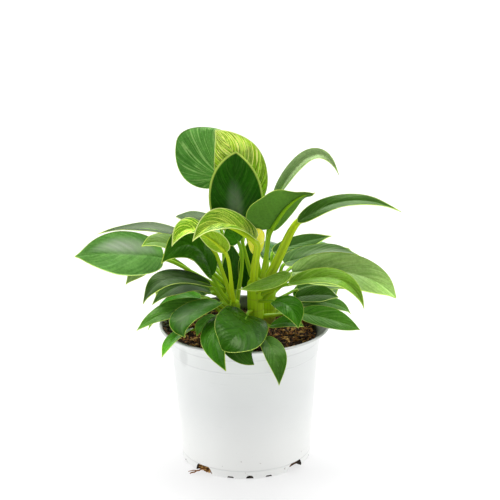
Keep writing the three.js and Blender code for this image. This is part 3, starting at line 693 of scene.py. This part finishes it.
def add_stalk(out, leaf, midrib, seed, slot):
    radius = leaf["stalk"]
    sheathed = radius >= SHEATHED["from"]
    kind = SHEATHED if sheathed else ROUND
    steps, tail, sides = STALK["steps"], STALK["tail"], STALK["sides"]
    path = stalk_path(leaf, midrib, radius)
    spine = [catmull(path, i / steps) for i in range(steps + 1)]
    end = min(STALK["ends"], 0.9 * (leaf["cut"] or 1))
    for i in range(1, tail + 1):
        point, normal, _ = midrib.at(mix(STALK["joins"], end, i / tail))
        left = 1 - i / tail
        # deep enough for the tail to stay inside the blade, below its groove
        sunk = max(STALK["seat"] * radius * left ** 0.8, ROUND["neck"] * radius * left ** 0.7 + 0.24)
        spine.append(point - normal * sunk)
    normal = midrib.normals[0]
    frames = []
    for i in range(len(spine) - 1, -1, -1):
        tangent = (spine[min(i + 1, len(spine) - 1)] - spine[max(i - 1, 0)]).normalized()
        normal = (normal - tangent * normal.dot(tangent)).normalized()
        frames.append((spine[i], normal, normal.cross(tangent)))
    frames.reverse()
    rings = []
    for i, (point, up, side) in enumerate(frames):
        t = min(i / steps, 1.0)
        if i <= steps:
            size = radius * mix(kind["root"], kind["neck"], t ** 1.5 if sheathed else smooth(0, 0.5, t))
        else:
            size = radius * kind["neck"] * (1 - (i - steps) / tail) ** 0.7
            size += 0.05 * radius if sheathed else 0.12
        depth = kind["channel"] * (1 - smooth(0.75, 1.0, t) * 0.7)
        ring = []
        for k, phi in enumerate(angles(sides)):
            hollow = depth * math.exp(-((phi - math.pi / 2) / 0.55) ** 2)
            x, y = polar(size * (1 - hollow), phi)
            uv = (t * 0.9 + (0.1 if i > steps else 0), k / sides)
            ring.append(out.add(point + side * (x * kind["flat"]) + up * y, uv, hollow / depth, seed=seed))
        rings.append(ring)
    out.tube(rings, slot, clockwise=True)


def make_leaf(number, leaf):
    seed = (number * 0.618) % 1 * 10
    midrib = Midrib(leaf)
    out = Builder()
    add_blade(out, leaf, midrib, seed)
    add_stalk(out, leaf, midrib, seed, 1)
    out.even = {key: leaf[key] for key in ("lean", "shade", "rim", "dusk", "fan", "spine")}
    names = ("bloom_along", "bloom_across", "bloom_long", "bloom_wide", "bloom")
    out.even.update(zip(names, leaf["bloom"]))
    lime = leaf["look"] in ("lime", "gold", "young")
    stem = leaf["stem"] or ("lime" if lime else "green")
    obj = out.make(f"birkin_leaf_{number:02d}", (BLADES[leaf["look"]], STALKS[stem]))
    dress(obj, f"leaf_{number:02d}")


# ---- crowns


def crown_material():
    n = Nodes("crown_stem")
    along, around = n.uv()
    where = n.where()
    ribs = n.noise(n.place(n.mul(along, 2.0), n.mul(around, 30.0), 0.0), 1.0, 3.0)
    colour = n.blend(n.ramp(along, 0.45, 1.0), (0.42, 0.66, 0.008), (0.38, 0.64, 0.006))
    colour = n.blend(n.mul(n.ramp(ribs, 0.46, 0.66), 0.50), colour, (0.17, 0.34, 0.008))
    foot = n.ramp(n.muladd(n.noise(where, 300.0, 3.0), 0.16, along), 0.62, 0.50)
    colour = n.blend(n.mul(foot, 0.75), colour, (0.16, 0.10, 0.04))
    scars = n.ramp(n.value("edge"), 0.35, 0.95)
    colour = n.blend(n.mul(scars, 0.20), colour, (0.26, 0.22, 0.05))
    n.bump(n.add(ribs, n.mul(n.noise(where, 700.0, 3.0), 0.5)), 0.35, 0.0006)
    n.set(Base_Color=colour, Roughness=n.ramp(ribs, 0.3, 0.7, 0.40, 0.58), Specular_IOR_Level=0.25,
          Subsurface_Weight=0.10, Subsurface_Radius=(0.6, 1.0, 0.2), Subsurface_Scale=0.002)
    return n.material


def make_crown(number, crown, material):
    """A short stem with a scar ring where each old leaf sat, inside the crown's solid."""
    radius, top = crown["radius"], crown["top"]
    foot = SOIL["crown"] - SOIL["socket"]
    rows, sides, scar_step = 72, 40, 9.5
    out = Builder()
    rings = []
    for i in range(rows + 1):
        share = i / rows
        z = mix(foot, top, share)
        size = radius * min(1.0, 0.86 + 0.14 * smooth(0, 0.05, share))
        left = (top - z) / (0.9 * radius)
        if left < 1:
            size *= math.sqrt(max(0.0, 1 - (1 - left) ** 2)) * 0.85 + 0.15 * left
        scar = (0.5 + 0.5 * math.cos(math.tau * ((z + 3 * number) / scar_step % 1))) ** 10
        ring = []
        for k, angle in enumerate(angles(sides)):
            lobes = 0.035 * math.cos(5 * angle + 0.06 * z + number) + 0.02 * math.cos(11 * angle - 0.1 * z)
            x, y = polar(size * (0.945 + lobes - 0.05 * scar), angle)
            place = Vector((crown["at"][0] + x, crown["at"][1] + y, z))
            ring.append(out.add(place, (share, k / sides), scar))
        rings.append(ring)
    out.tube(rings)
    obj = out.make(f"birkin_crown_{number}", (material,))
    dress(obj, f"crown_{number}")


# ---- soil


def soil_material():
    n = Nodes("potting_mix")
    where = n.where()
    tone = n.value("edge")
    grain = n.noise(where, 900.0, 4.0, 0.7)
    colour = n.blend(n.ramp(grain, 0.35, 0.70), (0.010, 0.005, 0.003), (0.070, 0.030, 0.012))
    colour = n.blend(n.ramp(tone, 0.25, 0.95), colour, (0.30, 0.125, 0.030))
    colour = n.blend(n.ramp(tone, 1.2, 2.0), colour, (0.72, 0.42, 0.13))
    n.bump(grain, 0.8, 0.0012)
    n.set(Base_Color=colour, Roughness=n.ramp(grain, 0.3, 0.7, 0.72, 0.95), Specular_IOR_Level=0.3)
    return n.material


def pot_inner(z):
    slope = (POT["top"] - POT["foot"]) / POT["height"]
    return POT["foot"] + slope * z - POT["wall"]


def soil_height(x, y):
    """Height of the potting mix, slightly crowned and uneven."""
    side = pot_inner(SOIL["rim"])
    share = math.hypot(x, y) / side
    z = mix(SOIL["crown"], SOIL["rim"], share * share)
    z += 0.7 * math.sin(0.23 * x + 1) * math.cos(0.19 * y - 0.5) * smooth(1.0, 0.85, share)
    z += 0.9 * (noise.noise(Vector((x, y, 0)) * 0.22)) + 0.5 * noise.noise(Vector((x, y, 5)) * 0.7)
    return z


def crumb(out, rng, centre, size, tone):
    """A rough lump: two belts of five to seven points between a point above and one below."""
    half = size * 0.5
    squash = Vector((rng.uniform(0.6, 1.3), rng.uniform(0.6, 1.3), rng.uniform(0.5, 1.0)))
    turn = rng.uniform(0, TURN)
    peak = Vector((rng.uniform(-0.2, 0.2), rng.uniform(-0.2, 0.2), 1))
    top = out.add(centre + peak * (half * squash.z), edge=tone)
    low = out.add(centre - Vector((0, 0, half * squash.z)), edge=tone)
    sides = rng.choice((5, 6, 7))
    belts = []
    for level in (0.38, -0.3):
        belt = []
        for k in range(sides):
            angle = turn + TURN * (k + rng.uniform(-0.25, 0.25)) / sides
            r = half * rng.uniform(0.7, 1.15)
            step = Vector((math.cos(angle) * squash.x * r, math.sin(angle) * squash.y * r,
                           half * (level + rng.uniform(-0.2, 0.2)) * squash.z))
            belt.append(out.add(centre + step, edge=tone))
        belts.append(belt)
    for k in range(sides):
        m = (k + 1) % sides
        out.face((belts[0][k], belts[0][m], top))
        out.face((belts[1][k], belts[1][m], belts[0][m], belts[0][k]))
        out.face((belts[1][m], belts[1][k], low))


def strand(out, points, radius, tone, sides=4):
    """A thin fibre or root along a line of points."""
    rings = []
    for i, point in enumerate(points):
        tangent = (points[min(i + 1, len(points) - 1)] - points[max(i - 1, 0)]).normalized()
        side = tangent.cross(Vector((0, 0.1, 1))).normalized()
        up = side.cross(tangent)
        r = radius * (1 if 0 < i < len(points) - 1 else 0.6)
        turns = [polar(r, TURN * k / sides) for k in range(sides)]
        rings.append([out.add(point + side * x + up * y, edge=tone) for x, y in turns])
    out.tube(rings)


def add_soil_block(out, rng, side):
    """The surface from its middle outwards, and the wall below it with dents near the foot."""
    turns, belts = 120, 34
    surface, wall = [], []
    for i in range(belts + 1):
        radius = (1 - i / belts) * side or 0.01
        ring = []
        for angle in angles(turns):
            x, y = polar(radius, angle)
            z = soil_height(x, y) - 0.2
            ring.append(out.add(Vector((x, y, z)), edge=0.35 * rng.random()))
        surface.append(ring)
    for z in (60, 20, 12, 10, 8, 6, 4, POT["floor"] + 0.3):
        ring = []
        for angle in angles(turns):
            dent = 0.0
            if z < 20:
                dent = 0.7 * (noise.noise(Vector((*polar(30, angle), z)) * 0.5) - 0.8)
            x, y = polar(pot_inner(z) - 0.3 + dent, angle)
            ring.append(out.add(Vector((x, y, z)), edge=0.7 * rng.random()))
        wall.append(ring)
    out.tube(wall[::-1] + surface)


def free_spot(rng, side):
    """A place on the surface that isn't under a crown."""
    while True:
        x, y = rng.uniform(-side, side), rng.uniform(-side, side)
        if math.hypot(x, y) > side - 1.2:
            continue
        if all(math.hypot(x - c["at"][0], y - c["at"][1]) > c["radius"] + 0.8 for c in CROWNS):
            return x, y


def scatter_crumbs(out, rng, side):
    for _ in range(4600):
        x, y = free_spot(rng, side)
        size = rng.choice((0.9, 1.2, 1.5, 1.9, 2.4, 3.4)) * rng.uniform(0.8, 1.1)
        tone = rng.choice((0.0, 0.0, 0.0, 0.1, 0.3, 0.8, 1.3, 2.2))
        crumb(out, rng, Vector((x, y, soil_height(x, y) + 0.12 * size)), size, tone)
    # crumbs that lie on the flare of the lip, most of them at the left
    for _ in range(420):
        bearing = math.radians(rng.gauss(188, 24))
        share = rng.random() ** 1.4
        r = mix(pot_inner(POT["lip_inner"]) + 1.0, POT["lip"] - 2.6, share)
        z = mix(POT["lip_inner"], POT["height"] - 0.5, share)
        size = rng.uniform(0.8, 2.4) * (1.1 - 0.5 * share)
        centre = Vector((*polar(r, bearing), z + 0.15 * size))
        crumb(out, rng, centre, size, rng.choice((0.0, 0.0, 0.1, 0.3, 0.6, 1.0)))


def scatter_fibres(out, rng, side):
    joints = 4
    for _ in range(420):
        x, y = free_spot(rng, side)
        heading = rng.uniform(0, TURN)
        length = rng.uniform(2.5, 8)
        points = []
        for i in range(joints + 1):
            arch = math.sin(math.pi * i / joints)
            step, bow = length * (i / joints - 0.5), 0.18 * length * arch
            px = x + step * math.cos(heading) - bow * math.sin(heading)
            py = y + step * math.sin(heading) + bow * math.cos(heading)
            if math.hypot(px, py) > side - 0.8:
                break
            points.append(Vector((px, py, soil_height(px, py) + 0.6 + 0.5 * arch)))
        if len(points) > 2:
            strand(out, points, rng.uniform(0.12, 0.26), rng.choice((0.7, 1.1, 1.8)))


def add_root_ball(out, rng):
    """Coarse bits that show in the notch at the front left, and the root that has grown out of it."""
    for _ in range(260):
        angle = math.radians(rng.uniform(-139, -122))
        z = rng.uniform(1.2, 6.6)
        centre = Vector((*polar(50.6 + rng.uniform(-1.5, 1.2), angle), z))
        crumb(out, rng, centre, rng.uniform(0.8, 2.0), rng.choice((0.5, 1.1, 1.8, 2.6)))
    path = [Vector(p) for p in ((-27, -31, 6), (-34, -38, 4), (-40, -41, 2.5), (-46, -43, 1.2))]
    line = [catmull(path, i / 14) for i in range(15)]
    for i, point in enumerate(line):
        point.z = max(point.z + 0.35 * math.sin(2.1 * i), 0.9)
    strand(out, line, 0.62, 1.1, 8)
    tip = Vector((-47.5, -39.0, 1.4))
    fork = [line[9].lerp(tip, t / 4) + Vector((0, 0, 0.4 * math.sin(t))) for t in range(5)]
    strand(out, fork, 0.38, 0.9, 6)


def make_soil(material):
    rng = random.Random(7)
    out = Builder()
    side = pot_inner(SOIL["rim"]) - 0.3
    add_soil_block(out, rng, side)
    scatter_crumbs(out, rng, side)
    scatter_fibres(out, rng, side)
    add_root_ball(out, rng)
    dress(out.make("birkin_soil", (material,)), "soil")


# ---- pot


def pot_material():
    """White outside, grey inside: the edge layer is 1 on the inside. Its texture is placed in metres."""
    n = Nodes("pot_plastic")
    where = n.where()
    inner = n.value("edge")
    cloud = n.noise(where, 18.0, 3.0)
    colour = n.blend(n.ramp(cloud, 0.3, 0.7), (0.77, 0.79, 0.78), (0.80, 0.82, 0.81))
    # painted light: the wall is painted lighter towards the foot, as if lit from the floor; faint scuffs that
    # run round the wall, and a little dust near the foot
    x, y, height = n.split(where)
    colour = n.blend(n.ramp(height, 0.070, 0.010), colour, (0.92, 0.93, 0.91))
    scuff = n.noise(n.place(n.mul(x, 22.0), n.mul(y, 22.0), n.mul(height, 420.0)), 1.0, 4.0, 0.65)
    colour = n.blend(n.mul(n.ramp(scuff, 0.62, 0.78), 0.22), colour, (0.52, 0.54, 0.52))
    dust = n.mul(n.ramp(n.noise(where, 520.0, 2.0), 0.70, 0.76), n.ramp(height, 0.030, 0.004))
    colour = n.blend(n.mul(dust, 0.7), colour, (0.16, 0.11, 0.07))
    # painted shade: grey lines painted below the ridges and above the foot, where the steps in the wall cast
    # shade
    for line in (0.0942, 0.1053, 0.0072):
        painted_shade_line = n.ramp(n.math("ABSOLUTE", n.sub(height, line)), 0.0011, 0.0002)
        colour = n.blend(n.mul(painted_shade_line, 0.32), colour, (0.42, 0.43, 0.43))
    # painted shadow: a grey patch painted on the wall under the lip at the left
    aside = n.div(n.add(x, 0.049), 0.0045)
    below = n.div(n.sub(height, 0.100), 0.0110)
    off = n.add(n.mul(aside, aside), n.mul(below, below))
    painted_shadow_patch = n.mul(n.ramp(off, 1.0, 0.1), n.ramp(y, 0.0, -0.01))
    colour = n.blend(n.mul(painted_shadow_patch, 0.40), colour, (0.48, 0.50, 0.49))
    tone = n.ramp(n.noise(where, 160.0, 3.0), 0.3, 0.7)
    grey = n.blend(tone, (0.068, 0.074, 0.052), (0.130, 0.138, 0.105))
    colour = n.blend(inner, colour, grey)
    n.bump(n.add(n.mul(scuff, 0.4), n.noise(where, 240.0, 2.0)), 0.06, 0.0006)
    rough = n.ramp(cloud, 0.3, 0.7, 0.30, 0.42)
    n.set(Base_Color=colour, Roughness=rough, Specular_IOR_Level=0.5, Subsurface_Weight=0.05,
          Subsurface_Radius=(1.0, 1.0, 1.0), Subsurface_Scale=0.003)
    return n.material


def pot_profile():
    """[radius, height, inside] from the middle of the underside, up the outside and down the inside."""
    foot, top, height, wall = POT["foot"], POT["top"], POT["height"], POT["wall"]
    lip, thick, step = POT["lip"], POT["lip_edge"], POT["ridge_step"]
    collar, ridge, lip_inner = POT["collar"], POT["ridge"], POT["lip_inner"]
    slope = (top - foot) / height

    def outer(z):
        return foot + slope * z

    points = [(0, 0, 1), (20, 0, 1), (38, 0, 1), (foot - 3.0, 0, 0.4)]
    for k in range(5):
        angle = math.radians(90 * k / 4)
        points.append((foot - 1.5 + 1.5 * math.sin(angle), 1.5 - 1.5 * math.cos(angle), 0))
    points += [(outer(z), z, 0) for z in (2.4, 4, 6.3, 6.9)]
    points += [(outer(7.3) + 0.35, 7.4, 0), (outer(8.0) + 0.35, 8.0, 0)]
    heights = (12, 20, 30, 40, 50, 60, 70, 80, 88, 92, ridge)
    points += [(outer(z) + 0.35 * smooth(93, 8, z), z, 0) for z in heights]
    points += [(outer(ridge) + 0.10, ridge + 0.15, 0), (outer(ridge) + step, ridge + 0.75, 0),
               (outer(ridge) + step + 0.05, ridge + 1.2, 0)]
    points += [(outer(z) + step, z, 0) for z in (97, 100, 103, collar)]
    points += [(outer(collar) + step + 0.1, collar + 0.15, 0), (outer(collar) + 2 * step, collar + 0.75, 0)]
    points += [(outer(z) + 2 * step, z, 0) for z in (107, 108.5)]
    start = POT["lip_outer"]
    points += [(top + 2 * step - 0.05, start - 0.4, 0), (top + 2 * step + 0.35, start + 0.25, 0)]
    points += [(mix(top + 2 * step, lip - 0.8, k), mix(start, height - thick - 0.4, k) + 0.05, 0)
               for k in (0.3, 0.6, 0.9)]
    points += [(lip - 0.4, height - thick - 0.2, 0.1), (lip - 0.1, height - thick + 0.1, 0.2),
               (lip, height - 0.9, 0.25), (lip - 0.15, height - 0.4, 0.3), (lip - 0.5, height - 0.1, 0.35),
               (lip - 1.1, height, 0.4), (lip - 1.7, height - 0.15, 0.6), (lip - 2.3, height - 0.55, 0.9)]
    inner = outer(lip_inner) - wall
    points += [(mix(lip - 2.4, inner, k), mix(height - 0.5, lip_inner, k) - 0.1, 1)
               for k in (0.15, 0.4, 0.7, 0.93)]
    points += [(outer(z) - wall, z, 1) for z in (lip_inner - 0.6, 107, 104, 90, 60, 30, POT["floor"])]
    points += [(30, POT["floor"], 1), (0, POT["floor"], 1)]
    return points


def add_turned(out, profile, sides):
    rings = []
    for radius, z, inside in profile:
        turns = angles(sides) if radius else (0,)
        rings.append([out.add(Vector((*polar(radius, angle), z)), edge=inside) for angle in turns])
    for a, b in zip(rings, rings[1:]):
        for k in range(sides):
            m = (k + 1) % sides
            corners = [a[k % len(a)], a[m % len(a)], b[m % len(b)], b[k % len(b)]]
            out.face(tuple(dict.fromkeys(corners)))


def arch_outline(width, height, round_top):
    """Half-open outline of a notch, from its left foot to its right foot."""
    if round_top:
        turns = [math.pi * (1 - k / 12) for k in range(13)]
        return [(0.5 * width * math.cos(angle), height * math.sin(angle) ** 0.6) for angle in turns]
    right = [(x * width, z * height) for x, z in ((0.5, 0), (0.47, 0.35), (0.38, 0.82), (0.30, 1))]
    return [(-x, z) for x, z in right] + right[::-1]


def cutter(bearing, width, height, inside, round_top=False):
    """A bar that points away from the pot's axis at a bearing, 0 at the front."""
    outline = arch_outline(width, height, round_top)
    outline = [(outline[0][0], -2)] + outline + [(outline[-1][0], -2)]
    turn = math.radians(bearing)
    points, faces = [], []
    for depth in (inside, POT["foot"] + 6):
        for x, z in outline:
            points.append((x * math.cos(turn) + depth * math.sin(turn),
                           x * math.sin(turn) - depth * math.cos(turn), z))
    n = len(outline)
    for k in range(n):
        m = (k + 1) % n
        faces.append((n + k, n + m, m, k))
    faces += [tuple(range(n)), tuple(reversed(range(n, 2 * n)))]
    return points, faces


def notch_shade_material():
    """The cut faces of the notches, painted near-black as painted shade, with some dirt on them."""
    n = Nodes("pot_notch_painted_shade")
    dirt = n.ramp(n.noise(n.where(), 500.0, 3.0, 0.6), 0.35, 0.7)
    n.set(Base_Color=n.blend(dirt, (0.010, 0.008, 0.006), (0.050, 0.036, 0.024)), Roughness=0.9)
    return n.material


def make_pot(material):
    out = Builder()
    add_turned(out, pot_profile(), 160)
    pot = out.make("birkin_pot", (material,))
    points, faces = [], []

    def cut(*sizes):
        more, sides = cutter(*sizes)
        start = len(points)
        points.extend(more)
        faces.extend(tuple(start + i for i in side) for side in sides)

    # each with its bearing, width, height and inner end
    for bearing in (-41, 49, 139, -131):
        cut(bearing, 18, 7, 44)
    for quarter in (3, 93, 183, 273):
        cut(quarter - 17, 6.0, 2.2, 51.2)
        cut(quarter, 6.0, 3.4, 51.2, True)
        cut(quarter + 17, 6.0, 2.2, 51.2)
    tools = mesh_object("cutters", points, faces, (notch_shade_material(),), smooth_shade=False)
    change = pot.modifiers.new("notches", "BOOLEAN")
    change.operation, change.solver, change.object = "DIFFERENCE", "EXACT", tools
    change.material_mode = "TRANSFER"
    graph = bpy.context.evaluated_depsgraph_get()
    mesh = bpy.data.meshes.new_from_object(pot.evaluated_get(graph))
    pot.modifiers.clear()
    pot.data = mesh
    bpy.data.objects.remove(tools)
    mesh.set_sharp_from_angle(angle=math.radians(38))
    # the cut faces belong to the grey inside
    layer = mesh.attributes["edge"]
    for point in mesh.vertices:
        x, y, z = (c / MM for c in point.co)
        if z < 8 and math.hypot(x, y) < pot_inner(z) + 0.5 * POT["wall"]:
            layer.data[point.index].value = 1.0
    dress(pot, "pot")


# ---- the object

crown_skin = crown_material()
for number, crown in enumerate(CROWNS, 1):
    make_crown(number, crown, crown_skin)
make_soil(soil_material())
make_pot(pot_material())
for number, row in enumerate(LEAVES, 1):
    make_leaf(number, row)

# ---- studio


def stage_material():
    n = Nodes("studio_paper")
    tone = n.ramp(n.noise(n.where(), 3.0, 2.0), 0.3, 0.7)
    n.set(Base_Color=n.blend(tone, (0.22, 0.22, 0.22), (0.23, 0.23, 0.23)), Roughness=0.9,
          Specular_IOR_Level=0.1, Emission_Color=(1.0, 1.0, 1.0, 1.0), Emission_Strength=0.72)
    return n.material


def make_backdrop():
    """One sheet of white paper: the floor, a wide bend and the wall behind."""
    front, floor_end, bend, top, half = -3200, 600, 900, 4200, 4000
    profile = [(front, 0), (floor_end, 0)]
    for k in range(1, 17):
        angle = math.radians(90 * k / 16)
        profile.append((floor_end + bend * math.sin(angle), bend * (1 - math.cos(angle))))
    profile.append((floor_end + bend, top))
    points = [(x, y, z) for x in (-half, half) for y, z in profile]
    n = len(profile)
    faces = [(i, n + i, n + i + 1, i + 1) for i in range(n - 1)]
    obj = mesh_object("backdrop", points, faces, (stage_material(),))


def soft_light(name, at, target, size, power):
    """A rectangular lamp; places and sizes are in metres, its power in watts."""
    data = bpy.data.lights.new(name, "AREA")
    data.shape = "RECTANGLE"
    data.size, data.size_y = size
    data.energy = power
    obj = place_object(name, data)
    obj.location = at
    obj.rotation_mode = "QUATERNION"
    obj.rotation_quaternion = (Vector(target) - Vector(at)).to_track_quat("-Z", "Y")
    return obj


make_backdrop()
plant = (0, 0, 0.18)
soft_light("top", (0.0, 0.55, 1.55), plant, (1.4, 1.3), 54)
soft_light("left", (-1.7, 0.0, 0.8), plant, (1.2, 1.4), 12)
soft_light("right", (1.7, 0.0, 0.8), plant, (1.2, 1.4), 11)
front = soft_light("front", (0.0, -2.3, 0.5), plant, (1.6, 0.8), 12)
front.visible_glossy = False
for side in (-1, 1):
    soft_light("wall", (1.7 * side, 0.5, 0.9), (0.8 * side, 1.6, 0.9), (0.9, 1.4), 5)
world = bpy.data.worlds.new("studio")
world.use_nodes = True
sky = world.node_tree.nodes["Background"].inputs
sky["Color"].default_value = (1, 1, 1, 1)
sky["Strength"].default_value = 0.11
scene = bpy.context.scene
scene.world = world
scene.view_settings.view_transform = "Standard"
scene.view_settings.look = "None"
